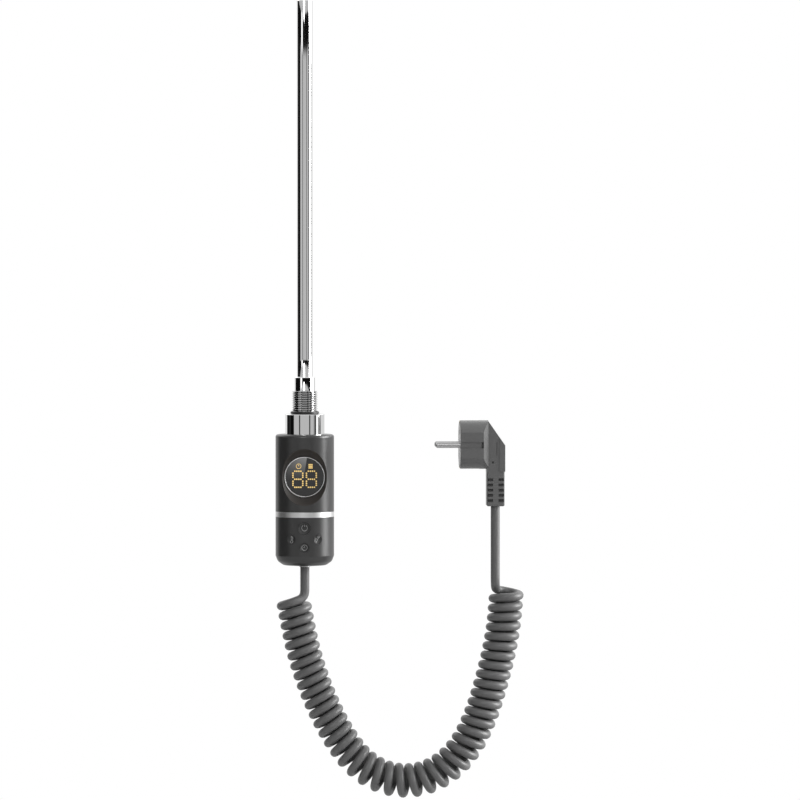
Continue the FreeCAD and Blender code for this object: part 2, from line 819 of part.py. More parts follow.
# ---------------------------------------------------------------------------------------------
# Display
# ---------------------------------------------------------------------------------------------
def bezel_and_lens():
    """Bright ring with a hidden flange, and the dark glass inside it."""
    bezel = turned("bezel_ring", [
        (d.bezel_bore, d.bezel_back),
        (d.bezel_flange, d.bezel_back),
        (d.bezel_flange, d.bezel_flange_front),
        (d.bezel_radius, d.bezel_flange_front),
        (d.bezel_radius, d.bezel_front),
        (d.bezel_bore, d.bezel_front),
    ])
    dress(bezel, "Fillet", d.bezel_edge, (d.bezel_radius, d.bezel_front), (d.bezel_bore, d.bezel_front))
    node(in_front(bezel, d.display_height), "bezel_ring")

    lens_radius = d.bezel_bore - d.snug
    lens = turned("display_lens", [
        (0, d.lens_front - d.lens_thickness),
        (lens_radius, d.lens_front - d.lens_thickness),
        (lens_radius, d.lens_front),
        (0, d.lens_front),
    ])
    node(in_front(lens, d.display_height), "display_lens")


def dot(name, x, up, radius):
    """One lit dot on the front of the lens."""
    return rod(name, radius, d.dot_thickness, x, -d.lens_front, d.display_height + up, FACING_FRONT)


def digit_dots():
    """Two digit eights, each of seven dotted strokes."""
    dots = []
    for digit, side in enumerate((-1, 1)):
        middle = d.digit_offset * side
        for level in (-4, 0, 4):
            for step in (-1.5, -0.5, 0.5, 1.5):
                dots.append(dot(f"digit{digit}_dot{len(dots)}", middle + d.dot_spacing * step,
                                d.dot_spacing * level - d.digit_drop, d.dot_radius))
        for edge in (-1, 1):
            for level in (-3, -2, -1, 1, 2, 3):
                dots.append(dot(f"digit{digit}_dot{len(dots)}", middle + d.digit_half_width * edge,
                                d.dot_spacing * level - d.digit_drop, d.dot_radius))
    node(group("display_digits", *dots), "display_digits")


def status_icons():
    """A small clock and a three-bar level sign above the digits."""
    rim = dot("clock_rim", -d.icon_offset, d.icon_height, d.icon_radius)
    hole = rod("clock_hole", d.icon_radius - d.icon_line, d.dot_thickness * 3, -d.icon_offset,
               -d.lens_front + d.dot_thickness, d.display_height + d.icon_height, FACING_FRONT)
    face = -d.lens_front - d.dot_thickness
    height = d.display_height + d.icon_height
    hand = box("clock_hand", d.icon_line, d.dot_thickness, d.icon_radius * 0.6,
               -d.icon_offset - d.icon_line / 2, face, height)
    bars = []
    for number in (-1, 0, 1):
        bars.append(box_about(f"level_bar{number}", d.icon_radius * 1.6, d.dot_thickness,
                              d.icon_line * 2.5, d.icon_offset, face,
                              height - d.icon_line * 1.25 + d.icon_radius * 0.62 * number))
    node(group("status_icons", cut("clock_ring", rim, hole), hand, *bars), "status_icons")


def display_electronics():
    """The two-digit light module behind the lens, on its own round board."""
    module_front = d.lens_front - d.lens_thickness - 0.2
    node(box_about("display_module", d.module_width, d.module_depth, d.module_height,
                   0, -module_front, d.display_height - d.module_height / 2), "display_module")
    board_front = module_front - d.module_depth - 0.1
    disc = rod("display_board", d.display_board_radius, d.board_thickness, 0,
               -board_front + d.board_thickness, d.display_height, FACING_FRONT)
    node(disc, "display_board")


# ---------------------------------------------------------------------------------------------
# Electronics in the head
# ---------------------------------------------------------------------------------------------
def electronics():
    """The main board with what stands on it, and the button board with its switches."""
    node(box_about("main_board", d.main_board_width, d.board_thickness,
                   d.main_board_top - d.main_board_base, 0, d.main_board_front, d.main_board_base),
         "main_board")
    back = d.main_board_front + d.board_thickness + 0.1
    node(box_about("relay", d.relay_width, d.relay_depth, d.relay_height, 0, back, d.relay_base),
         "relay")
    node(box_about("power_module", d.supply_width, d.supply_depth, d.supply_height,
                   0, back, d.supply_base), "power_module")
    cans = []
    for side in (-1, 1):
        cans.append(rod(f"capacitor{side}", d.capacitor_radius, d.capacitor_length,
                        d.capacitor_offset * side, back + d.capacitor_length,
                        d.capacitor_height, FACING_FRONT))
    node(group("capacitors", *cans), "capacitors")
    node(box_about("microcontroller", d.chip_width, d.chip_thickness, d.chip_width,
                   0, d.main_board_front - d.chip_thickness - 0.1, d.chip_base), "microcontroller")

    block = box_about("block_body", d.block_width, d.block_depth, d.block_height,
                      0, back, d.block_base)
    block_back = back + d.block_depth
    wells = []
    screws = []
    for slot in (-1, 0, 1):
        x = d.block_pitch * slot
        z = d.block_base + d.block_height / 2
        wells.append(rod(f"block_well{slot}", d.block_screw_radius + 0.2, d.block_depth * 0.7,
                         x, block_back + 1, z, FACING_FRONT))
        screws.append(rod(f"block_screw{slot}", d.block_screw_radius, d.block_depth * 0.4,
                          x, block_back - 1, z, FACING_FRONT))
    node(cut("terminal_block", block, *wells), "terminal_block")
    node(group("terminal_screws", *screws), "terminal_screws")

    leads = []
    for number, side in enumerate((-1, 1)):
        leads.append(rod(f"element_lead{number}", d.lead_radius, d.lead_top - d.lead_base,
                         d.terminal_offset * side, d.lead_depth, d.lead_base))
    node(group("element_leads", *leads), "element_leads")
    mains = []
    for slot in (-1, 0, 1):
        mains.append(rod(f"mains_lead{slot}", d.lead_radius, 12, d.lead_radius * 2.3 * slot, 0,
                         d.cord_inner_end))
    node(group("mains_leads", *mains), "mains_leads")

    board = box_about("button_board", d.button_board_width, d.board_thickness,
                      d.button_board_top - d.button_board_base, 0, -d.button_board_front,
                      d.button_board_base)
    node(board, "button_board")
    switches = []
    offsets = (0, -d.side_switch_offset, d.side_switch_offset, 0)
    for (name, _radius, height, _angle), x in zip(button_places(), offsets):
        switches.append(box_about(f"{name}_switch", d.switch_width, d.switch_depth, d.switch_width,
                                  x, -d.button_board_front - d.switch_depth - d.snug,
                                  height - d.switch_width / 2))
    node(group("button_switches", *switches), "button_switches")


# ---------------------------------------------------------------------------------------------
# Cord
# ---------------------------------------------------------------------------------------------
# Middle line of the hanging coil, as (x, z), from the heater's side to the plug's side.
COIL_ROUTE = [
    (-11.4, -141.3),
    (-5.2, -177.3),
    (1.9, -205.3),
    (12.2, -233.3),
    (26.0, -261.3),
    (44.0, -285.8),
    (66.5, -298.1),
    (91.5, -299.1),
    (113.5, -289.3),
    (130.4, -271.3),
    (142.3, -246.3),
    (150.8, -218.3),
    (157.7, -190.3),
    (161.8, -163.3),
    (163.6, -131.3),
]
ARC_SHARE = 0.45


def rounded_path(points):
    """Straight runs joined by tangent arcs, each as large as its two runs allow."""
    edges = []
    start = points[0]
    for before, corner, after in zip(points, points[1:], points[2:]):
        back = before - corner
        ahead = after - corner
        half_turn = (math.pi - back.getAngle(ahead)) / 2
        reach = ARC_SHARE * min(back.Length, ahead.Length)
        radius = reach / math.tan(half_turn)
        print(f"cord arc radius {radius:.1f} mm")
        enter = corner + back.normalize() * reach
        leave = corner + ahead.normalize() * reach
        towards = (enter + leave) * 0.5 - corner
        towards.normalize()
        middle = corner + towards * (radius / math.cos(half_turn) - radius)
        edges.append(Part.LineSegment(start, enter).toShape())
        edges.append(Part.Arc(enter, middle, leave).toShape())
        start = leave
    edges.append(Part.LineSegment(start, points[-1]).toShape())
    return Part.Wire(edges)


def swept(path, radius):
    """A round tube along a path, with its volume compared to section times length."""
    first = path.Edges[0]
    way = first.tangentAt(first.FirstParameter)
    ring = Part.Wire(Part.makeCircle(radius, path.OrderedVertexes[0].Point, way))
    tube = path.makePipeShell([ring], True, False)
    expected = math.pi * radius ** 2 * path.Length
    print(f"tube length {path.Length:.1f} mm, volume {tube.Volume / expected:.4f} of section x length")
    return tube


def curly_cord():
    """The coiled stretch as one fat tube of the coil's outer diameter, with level ends."""
    radius = d.coil_radius.value
    points = [Vector(x, d.coil_depth.value, z) for x, z in COIL_ROUTE]
    tube = doc.addObject("Part::Feature", "coil_tube")
    tube.Shape = swept(rounded_path(points), radius)
    trims = []
    for side, top in ((0, d.coil_left_top), (-1, d.coil_right_top)):
        centre = points[side].x
        trims.append(box(f"coil_trim{side}", radius * 4, radius * 4, 40,
                         centre - radius * 2, d.coil_depth - radius * 2, top))
    node(cut("curly_cord", tube, *trims), "curly_cord")


def cord_tails():
    """The straight stretch at each end of the coil."""
    heater_tail = rod("cord_tail_heater", d.cord_radius, d.cord_inner_end - d.coil_left_top,
                      0, 0, d.coil_left_top)
    node(heater_tail, "cord_tail_heater")
    plug_end = d.plug_height + d.boot_base
    plug_tail = rod("cord_tail_plug", d.cord_radius, plug_end - d.coil_right_top,
                    d.plug_x, 0, d.coil_right_top)
    node(plug_tail, "cord_tail_plug")


def cord_fastening():
    """The ring round the cord's exit, and the saddle clamp with two screws inside."""
    outer = d.cord_hole_radius - d.snug
    ring = turned("cord_ring", [
        (d.cord_radius + d.snug, d.head_base - d.cord_ring_drop),
        (outer, d.head_base - d.cord_ring_drop),
        (outer, d.head_base + d.head_floor),
        (d.cord_radius + d.snug, d.head_base + d.head_floor),
    ])
    node(ring, "cord_ring")

    front = -(d.cord_radius + d.snug + d.clamp_depth)
    saddle = box_about("clamp_bar", d.clamp_width, d.clamp_depth, d.clamp_height,
                       0, front, d.clamp_base)
    holes = []
    screws = []
    z = d.clamp_base + d.clamp_height / 2
    for side in (-1, 1):
        x = d.clamp_screw_offset * side
        holes.append(rod(f"clamp_hole{side}", d.clamp_screw_radius + d.snug, d.clamp_depth + 2,
                         x, front + d.clamp_depth + 1, z, FACING_FRONT))
        shank = rod(f"clamp_shank{side}", d.clamp_screw_radius, d.clamp_depth + 9.5, x, 5.5, z,
                    FACING_FRONT)
        head = rod(f"clamp_head{side}", d.clamp_screw_radius * 1.8, 1.5, x, front - d.snug, z,
                   FACING_FRONT)
        screws.append(fuse(f"clamp_screw{side}", shank, head))
    node(cut("cord_clamp", saddle, *holes), "cord_clamp")
    node(group("clamp_screws", *screws), "clamp_screws")


# ---------------------------------------------------------------------------------------------
# Plug, in its own frame: pins along -X, cord along -Z, origin where the two axes cross
# ---------------------------------------------------------------------------------------------
PLUG_TURN = Rotation(Vector(0, 0, 1), d.plug_yaw.value)
OUT_OF_FACE = Rotation(Vector(0, 1, 0), -90)


def on_plug(thing):
    """Move a finished plug piece from the plug's own frame to where it hangs."""
    holder = doc.addObject("Part::Compound", f"{thing.Name}_placed")
    holder.Links = [thing]
    return place(holder, d.plug_x, 0, d.plug_height, PLUG_TURN)


def facing(thing, start=0, y=0, z=0):
    """Turn a piece's own Z axis to point out of the plug's face, starting this far forward."""
    return place(thing, -as_size(start), y, z, OUT_OF_FACE)


def earth_socket_base():
    """How far forward the blind end of the earth socket is."""
    return d.plug_face - d.earth_socket_start - d.earth_socket_length


def carrier_outline(name, gap, front):
    """The insert's outline: a disc with two sides cut straight, from its back to this far forward."""
    back = d.plug_face - d.carrier_thickness - gap
    disc = facing(rod(f"{name}_disc", d.carrier_radius + gap, as_size(front) - back), back)
    half = d.carrier_half_width + gap
    sides = box(f"{name}_sides", d.plug_face + 2, half * 2, d.plug_radius * 2,
                -d.plug_face - 2, -half, -d.plug_radius)
    return common(f"{name}_outline", disc, sides)


def plug_shell():
    """The round body, flat at its sides, which narrow at the back to the neck's width."""
    disc = turned("plug_disc", [
        (0, d.plug_back),
        (d.plug_radius, d.plug_back),
        (d.plug_radius, d.plug_face),
        (0, d.plug_face),
    ])
    dress(disc, "Fillet", d.plug_front_round, (d.plug_radius, d.plug_face))
    plan = padded("plug_plan", "XY_Plane", [
        (-d.plug_face - 1, -d.plug_half_width),
        (-d.plug_bevel_start, -d.plug_half_width),
        (-d.plug_back, -d.neck_half_width),
        (-d.plug_back, d.neck_half_width),
        (-d.plug_bevel_start, d.plug_half_width),
        (-d.plug_face - 1, d.plug_half_width),
    ], d.plug_radius * 2 + 2)
    return common("plug_shell", facing(disc), plan)


def plug_neck():
    """The sloping neck with a slightly prouder panel at its back, and the cord boot below it."""
    neck = padded("plug_neck", "XZ_Plane", [
        (-d.plug_back - 3, d.neck_slope_top - 3),
        (-d.plug_back, d.neck_slope_top),
        (d.neck_side, d.neck_slope_foot),
        (d.neck_side, d.neck_panel_base),
        (-d.boot_side, d.neck_panel_base),
        (-d.boot_side, d.neck_panel_base + 4),
        (-d.plug_back - 3, d.neck_panel_base + 8),
    ], d.neck_half_width * 2)
    slope = (d.neck_slope_top.value - d.neck_slope_foot.value) / (d.neck_side + d.plug_back).value
    panel = padded("plug_panel", "XZ_Plane", [
        (d.neck_panel_start, d.neck_slope_foot + (d.neck_side - d.neck_panel_start) * slope),
        (d.neck_panel_side, d.neck_slope_foot - (d.neck_panel_side - d.neck_side) * slope),
        (d.neck_panel_side, d.neck_panel_base),
        (d.neck_panel_start, d.neck_panel_base),
    ], (d.neck_half_width + d.neck_panel_rise) * 2)
    boot = padded("plug_boot", "XZ_Plane", [
        (-d.boot_side, d.boot_base),
        (d.boot_side, d.boot_base),
        (d.boot_side, d.neck_panel_base + 1),
        (-d.boot_side, d.neck_panel_base + 1),
    ], d.neck_half_width * 2)
    doc.recompute()
    low_edges = []
    for number, edge in enumerate(boot.Tip.Shape.Edges, start=1):
        if edge.BoundBox.ZMin < d.boot_base.value + 0.1:
            low_edges.append(f"Edge{number}")
    dress_edges(boot, "Fillet", d.boot_round, low_edges)
    return neck, panel, boot


def neck_marks():
    """On each side: the boot's row of slots, a fine line, a dimple and the body's key groove."""
    marks = []
    for side in (-1, 1):
        face = d.neck_half_width * side
        for number in range(5):
            base = d.boot_slot_top - d.boot_slot_height - d.boot_slot_pitch * number
            for half in (-1, 1):
                low = -d.boot_slot_outer if half < 0 else d.boot_slot_inner
                marks.append(box(f"boot_slot{number}_{side}_{half}",
                                 d.boot_slot_outer - d.boot_slot_inner, d.boot_slot_depth * 2,
                                 d.boot_slot_height, low, face - d.boot_slot_depth, base))
        marks.append(box(f"neck_line{side}", d.neck_line_width, d.neck_line_depth * 2,
                         d.neck_line_top - d.neck_line_base, d.neck_line_x,
                         face - d.neck_line_depth, d.neck_line_base))
        marks.append(rod(f"neck_dimple{side}", d.neck_dimple_radius, d.neck_dimple_depth * 2,
                         d.neck_dimple_x, face + d.neck_dimple_depth, d.neck_dimple_height,
                         FACING_FRONT))
        floor = (d.plug_half_width - d.plug_key_depth) * side
        notch = (d.plug_half_width - d.plug_key_notch) * side
        over = (d.plug_half_width + 1) * side
        marks.append(padded(f"key_groove{side + 1}", "XY_Plane", [
            (-d.plug_face - 1, floor),
            (-d.plug_key_end, floor),
            (-d.plug_bevel_start, notch),
            (-d.plug_bevel_start, over),
            (-d.plug_face - 1, over),
        ], d.plug_key_height))
    return marks


def plug_moulding():
    """The moulded plug body, hollowed for its insert, pins and earth contacts."""
    hollows = [carrier_outline("carrier_space", d.snug, d.plug_face + 1)]
    for side in (-1, 1):
        recess_z = d.plug_radius * side - d.earth_recess_depth
        hollows.append(box(f"earth_recess{side}", d.earth_strip_length + 2, d.earth_recess_width,
                           d.earth_recess_depth * 2, -d.plug_face - 1,
                           -d.earth_recess_width / 2, recess_z))
        hollows.append(facing(rod(f"pin_seat{side}", d.pin_shank_radius + d.snug, d.pin_root),
                              d.plug_face - d.pin_root, d.pin_spacing / 2 * side))
    socket = rod("earth_socket_space", d.earth_socket_radius + d.snug, d.earth_socket_length)
    hollows.append(facing(socket, earth_socket_base(), 0, d.earth_hole_offset))
    solid = fuse("plug_blank", plug_shell(), *plug_neck())
    node(on_plug(cut("plug_body_shape", solid, *hollows, *neck_marks())), "plug_body")


def plug_metal():
    """Pins, the insert that holds them, earth strips and the earth socket."""
    pins = []
    ways = []
    for side in (-1, 1):
        pin = turned(f"plug_pin{side + 1}", [
            (0, d.plug_face - d.pin_root),
            (d.pin_shank_radius, d.plug_face - d.pin_root),
            (d.pin_shank_radius, d.plug_face),
            (d.pin_radius, d.plug_face),
            (d.pin_radius, d.plug_face + d.pin_length),
            (0, d.plug_face + d.pin_length),
        ])
        dress(pin, "Fillet", d.pin_tip, (d.pin_radius, d.plug_face + d.pin_length))
        pins.append(facing(pin, 0, d.pin_spacing / 2 * side))
        ways.append(facing(rod(f"pin_way{side}", d.pin_shank_radius + d.snug, d.plug_face + 1),
                           0, d.pin_spacing / 2 * side))
    node(on_plug(group("pin_pair", *pins)), "plug_pins")

    seat = rod("earth_seat", d.earth_socket_radius + d.snug, d.plug_face - d.earth_socket_start)
    ways.append(facing(seat, 0, 0, d.earth_hole_offset))
    mouth = rod("earth_hole", d.earth_hole_radius, d.earth_socket_start + 2)
    ways.append(facing(mouth, d.plug_face - d.earth_socket_start - 1, 0, d.earth_hole_offset))
    insert = carrier_outline("carrier", as_size(0), d.plug_face)
    node(on_plug(cut("carrier_shape", insert, *ways)), "plug_carrier")

    strips = []
    for side in (-1, 1):
        z = (d.plug_radius - 1.2) * side - d.earth_strip_thickness / 2
        strips.append(box(f"earth_strip{side}", d.earth_strip_length, d.earth_strip_width,
                          d.earth_strip_thickness, -d.plug_face, -d.earth_strip_width / 2, z))
    node(on_plug(group("earth_strips", *strips)), "earth_contacts")

    tube = rod("earth_tube", d.earth_socket_radius, d.earth_socket_length)
    facing(tube, earth_socket_base(), 0, d.earth_hole_offset)
    hole = rod("earth_tube_bore", d.earth_hole_radius, d.earth_hole_depth)
    facing(hole, d.plug_face - d.earth_hole_depth, 0, d.earth_hole_offset)
    node(on_plug(cut("earth_socket_shape", tube, hole)), "earth_socket")


# ---------------------------------------------------------------------------------------------
# Build, check and write
# ---------------------------------------------------------------------------------------------
heating_rod()
threaded_fitting()
seals_and_sleeve()
upper_housing()
trim_band()
lower_housing()
buttons()
bezel_and_lens()
digit_dots()
status_icons()
display_electronics()
electronics()
curly_cord()
cord_tails()
cord_fastening()
plug_moulding()
plug_metal()
doc.recompute()

for thing in doc.Objects:
    if "Invalid" in thing.State or "Error" in thing.State:
        raise RuntimeError(f"{thing.Name} failed: {thing.State}")
for piece in NODES:
    if piece.Shape.isNull() or not piece.Shape.isValid():
        raise RuntimeError(f"{piece.Label} has no valid shape")
    if not piece.Shape.Solids:
        raise RuntimeError(f"{piece.Label} has no solid")

for piece in NODES:
    piece.Shape.exportStep(f"parts/{piece.Label}.step")
    solids = len(piece.Shape.Solids)
    print(f"{piece.Label}: {solids} solid(s), {piece.Shape.Volume:.0f} mm3")
print(f"{len(NODES)} nodes written")
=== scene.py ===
"""Electric immersion heating rod with a controller head, a hanging curly cord and a mains plug."""
import bpy
import json
import math
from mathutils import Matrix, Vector
from mathutils.bvhtree import BVHTree


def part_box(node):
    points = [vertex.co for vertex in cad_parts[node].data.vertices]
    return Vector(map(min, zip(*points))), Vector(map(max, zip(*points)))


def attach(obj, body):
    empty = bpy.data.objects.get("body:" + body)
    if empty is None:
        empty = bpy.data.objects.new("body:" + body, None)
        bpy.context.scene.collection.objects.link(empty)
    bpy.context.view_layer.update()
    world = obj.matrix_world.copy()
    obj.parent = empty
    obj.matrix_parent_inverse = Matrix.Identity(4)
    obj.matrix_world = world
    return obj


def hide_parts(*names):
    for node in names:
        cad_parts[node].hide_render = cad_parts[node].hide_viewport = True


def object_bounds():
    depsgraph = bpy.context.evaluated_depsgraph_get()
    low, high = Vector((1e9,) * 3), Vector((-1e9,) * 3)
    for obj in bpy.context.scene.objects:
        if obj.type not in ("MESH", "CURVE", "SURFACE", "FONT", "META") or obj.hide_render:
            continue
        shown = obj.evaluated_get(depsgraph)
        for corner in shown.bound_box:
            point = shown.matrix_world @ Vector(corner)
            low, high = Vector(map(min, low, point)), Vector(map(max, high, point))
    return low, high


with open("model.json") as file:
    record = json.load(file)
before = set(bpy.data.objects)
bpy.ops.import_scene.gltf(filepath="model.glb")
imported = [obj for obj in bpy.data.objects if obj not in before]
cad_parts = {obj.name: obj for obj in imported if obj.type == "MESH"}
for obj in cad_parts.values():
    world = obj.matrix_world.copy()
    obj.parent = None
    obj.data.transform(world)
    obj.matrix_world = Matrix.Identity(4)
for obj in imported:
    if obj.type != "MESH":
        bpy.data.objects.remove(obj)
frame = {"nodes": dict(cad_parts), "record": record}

CAD_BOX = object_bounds()
NODES = frame["nodes"]
MM = 0.001

# Upward lean of the polished skins, as (height in metres, slope).
SHEATH_LEAN = [
    (0.0278, 0.16), (0.034, 0.145), (0.0384, 0.125), (0.0412, 0.06), (0.0435, 0.03), (0.046, 0.0),
    (0.279, 0.0), (0.283, 0.034), (0.289, 0.043), (0.3, 0.06), (0.3196, 0.107), (0.3314, 0.16),
]
COLLAR_LEAN = [
    (0.0, 0.0), (0.0164, 0.0), (0.0166, 0.142), (0.0222, 0.128), (0.027, 0.086), (0.0278, 0.0),
    (0.1, 0.0),
]
# The head's shell, and a sphere in metres that just takes in its round dish.
HEAD_COLOR = (0.03, 0.03, 0.03)
HEAD_ROUGHNESS = 0.32
HEAD_IOR = 1.6
DISH_COLOR = (0.024, 0.0205, 0.0185)
DISH_ROUGHNESS = 0.62
DISH_CENTRE = (0.0, -0.0313, -0.0526)
DISH_RADIUS = 0.0241
# Heights and radii of the thread, in metres, and how dark the painted shade in its roots is.
THREAD_TOP = 0.0162
THREAD_FOOT = 0.0003
THREAD_ROOT = 0.0094
THREAD_CREST = 0.0102
ROOT_SHADE = 0.42
# Stretch of the marks that drawing and brushing leave along the rod.
DRAWN = (1.0, 1.0, 0.04)
BRUSHED = (1.0, 1.0, 0.05)
# Fineness, depth in metres and strength of the grain on moulded plastic.
MOULD_GRAIN = 1400.0
MOULD_DEPTH = 0.00001
MOULD_STRENGTH = 0.08
# Depth in metres of the marks on polished and on brushed metal.
DRAWN_DEPTH = 0.000004
BRUSHED_DEPTH = 0.00001
# Smoked glass: its own dark colour, the colour of a painted reflection on it, and the slope and
# place of the painted reflection's sharp edge, as shares of the lens's radius.
GLASS_DARK = (0.018, 0.018, 0.018)
GLASS_PAINTED_REFLECTION = (0.36, 0.36, 0.36)
REFLECTION_EDGE_SLOPE = 0.16
REFLECTION_EDGE_SHIFT = 0.04

CAMERA_TARGET = (76.8, 0.0, 9.0)  # mm
CAMERA_DISTANCE = 8.01  # metres
CAMERA_REACH = 50  # metres
CAMERA_ELEVATION = 2.0  # degrees
CAMERA_LENS = 447  # mm
CAMERA_SENSOR = 36  # mm


# ---------------------------------------------------------------------------------------------
# Camera
# ---------------------------------------------------------------------------------------------
def make_camera():
    """A long lens far in front of the object, very slightly above it."""
    elevation = math.radians(CAMERA_ELEVATION)
    away = Vector((0, -math.cos(elevation), math.sin(elevation)))
    data = bpy.data.cameras.new("camera")
    data.lens = CAMERA_LENS
    data.sensor_width = CAMERA_SENSOR
    data.clip_end = CAMERA_REACH
    camera = bpy.data.objects.new("camera", data)
    bpy.context.scene.collection.objects.link(camera)
    camera.location = Vector(CAMERA_TARGET) * MM + away * CAMERA_DISTANCE
    camera.rotation_euler = (math.pi / 2 - elevation, 0, 0)
    bpy.context.scene.camera = camera


# ---------------------------------------------------------------------------------------------
# Shader helpers
# ---------------------------------------------------------------------------------------------
class Shader:
    """A material under construction, with short calls for the nodes that it uses."""

    def __init__(self, name, color, roughness, **settings):
        self.material = bpy.data.materials.new(name)
        self.material.use_nodes = True
        self.tree = self.material.node_tree
        self.surface = self.tree.nodes["Principled BSDF"]
        self.set("Base Color", (*color, 1.0))
        self.set("Roughness", roughness)
        for socket, value in settings.items():
            self.set(socket.replace("_", " "), value)

    def set(self, socket, value):
        """A constant on the surface shader's own socket."""
        self.surface.inputs[socket].default_value = value

    def node(self, kind, **values):
        """A new node, with its inputs set or linked."""
        node = self.tree.nodes.new(kind)
        for name, value in values.items():
            if hasattr(node, name):
                setattr(node, name, value)
            else:
                self.feed(node.inputs[name.replace("_", " ")], value)
        return node

    def feed(self, socket, value):
        """Link an output into a socket, or set the socket's constant."""
        if isinstance(value, bpy.types.NodeSocket):
            self.tree.links.new(value, socket)
        else:
            socket.default_value = value

    def place(self):
        """Coordinates in the object's own space, which is the part's own frame, in metres."""
        return self.node("ShaderNodeTexCoord").outputs["Object"]

    def stretched(self, scale):
        """The same coordinates, scaled differently each way."""
        return self.node("ShaderNodeMapping", Vector=self.place(), Scale=scale).outputs["Vector"]

    def noise(self, scale, detail=3.0, vector=None):
        """Noise from 0 to 1."""
        vector = vector or self.place()
        node = self.node("ShaderNodeTexNoise", Vector=vector, Scale=scale, Detail=detail)
        return node.outputs["Fac"]

    def math(self, operation, one, two=0.0):
        """Arithmetic on two values."""
        node = self.tree.nodes.new("ShaderNodeMath")
        node.operation = operation
        self.feed(node.inputs[0], one)
        self.feed(node.inputs[1], two)
        return node.outputs[0]

    def spread(self, value, low, high, start=0.3, end=0.7):
        """A value mapped from start..end to low..high."""
        return self.node("ShaderNodeMapRange", Value=value, From_Min=start, From_Max=end,
                         To_Min=low, To_Max=high).outputs["Result"]

    def ramp(self, value, stops):
        """A colour ramp; each stop is (position, colour)."""
        node = self.tree.nodes.new("ShaderNodeValToRGB")
        ramp = node.color_ramp
        while len(ramp.elements) < len(stops):
            ramp.elements.new(1.0)
        for element, (position, color) in zip(ramp.elements, stops):
            element.position = position
            element.color = (*color, 1.0)
        self.feed(node.inputs["Fac"], value)
        return node.outputs["Color"]

    def tint(self, value, one, other):
        """Base colour from one colour to another as the value goes from 0 to 1."""
        self.feed(self.surface.inputs["Base Color"], self.ramp(value, [(0.0, one), (1.0, other)]))

    def rough(self, value, low, high):
        """Roughness that follows a noise value."""
        self.feed(self.surface.inputs["Roughness"], self.spread(value, low, high))

    def bump(self, value, distance, strength=1.0):
        """Bump of that real depth in metres."""
        node = self.node("ShaderNodeBump", Height=value, Strength=strength, Distance=distance)
        self.feed(self.surface.inputs["Normal"], node.outputs["Normal"])

    def profile(self, value, points):
        """A value read off a line through points (position, result), both in real units."""
        low = points[0][0]
        high = points[-1][0]
        top = max(result for position, result in points)
        share = self.spread(value, 0.0, 1.0, low, high)
        stops = []
        for position, result in points:
            stops.append(((position - low) / (high - low), (result / top,) * 3))
        return self.math("MULTIPLY", self.ramp(share, stops), top)

    def lean(self, slope):
        """Tilt the surface's normal upwards by that slope."""
        lift = self.node("ShaderNodeCombineXYZ", Z=slope).outputs[0]
        normal = self.node("ShaderNodeNewGeometry").outputs["Normal"]
        total = self.node("ShaderNodeVectorMath", operation="ADD")
        self.feed(total.inputs[0], normal)
        self.feed(total.inputs[1], lift)
        unit = self.node("ShaderNodeVectorMath", operation="NORMALIZE")
        self.feed(unit.inputs[0], total.outputs[0])
        self.feed(self.surface.inputs["Normal"], unit.outputs[0])


def shade(color, factor):
    """A colour made lighter or darker."""
    return tuple(channel * factor for channel in color)


# ---------------------------------------------------------------------------------------------
# Materials
# ---------------------------------------------------------------------------------------------
def plastic(name, color, roughness=0.3, **settings):
    """Moulded plastic with a very fine grain and slightly uneven gloss."""
    shader = Shader(name, color, roughness, **settings)
    shader.tint(shader.noise(90.0), shade(color, 0.95), shade(color, 1.05))
    shader.rough(shader.noise(40.0), roughness - 0.01, roughness + 0.01)
    shader.bump(shader.noise(MOULD_GRAIN, 2.0), MOULD_DEPTH, MOULD_STRENGTH)
    return shader.material


def polished_metal(name, color, roughness):
    """Polished or plated metal with faint drawing marks."""
    shader = Shader(name, color, roughness, Metallic=1.0)
    marks = shader.noise(900.0, 2.0, shader.stretched(DRAWN))
    shader.tint(shader.noise(60.0), shade(color, 0.98), color)
    shader.rough(marks, roughness * 0.7, roughness * 1.6)
    shader.bump(marks, DRAWN_DEPTH, 0.15)
    return shader.material


def drawn_sheath(color):
    """Polished tube whose skin rounds in slightly towards its end and flares at its foot."""
    shader = Shader("polished_sheath", color, 0.02, Metallic=1.0)
    up = shader.node("ShaderNodeSeparateXYZ", Vector=shader.place()).outputs["Z"]
    shader.lean(shader.profile(up, SHEATH_LEAN))
    marks = shader.noise(900.0, 2.0, shader.stretched(DRAWN))
    shader.tint(shader.noise(60.0), shade(color, 0.98), color)
    shader.rough(marks, 0.05, 0.06)
    return shader.material


def threaded_metal(color):
    """Plated metal with painted shade in the roots of its thread, and a collar that leans a
    little.
    """
    shader = Shader("chromed_fitting", color, 0.05, Metallic=1.0)
    split = shader.node("ShaderNodeSeparateXYZ", Vector=shader.place())
    across = shader.math("POWER", split.outputs["X"], 2.0)
    deep = shader.math("POWER", split.outputs["Y"], 2.0)
    radius = shader.math("SQRT", shader.math("ADD", across, deep))
    # Painted shade: the base colour darkens towards the thread's roots, but not above or below the
    # thread.
    crest = shader.spread(radius, 0.0, 1.0, THREAD_ROOT, THREAD_CREST)
    above = shader.math("GREATER_THAN", split.outputs["Z"], THREAD_TOP)
    below = shader.math("LESS_THAN", split.outputs["Z"], THREAD_FOOT)
    unshaded = shader.math("MAXIMUM", crest, shader.math("MAXIMUM", above, below))
    shader.tint(unshaded, shade(color, ROOT_SHADE), color)
    shader.rough(shader.noise(700.0), 0.02, 0.04)
    shader.lean(shader.profile(split.outputs["Z"], COLLAR_LEAN))
    return shader.material


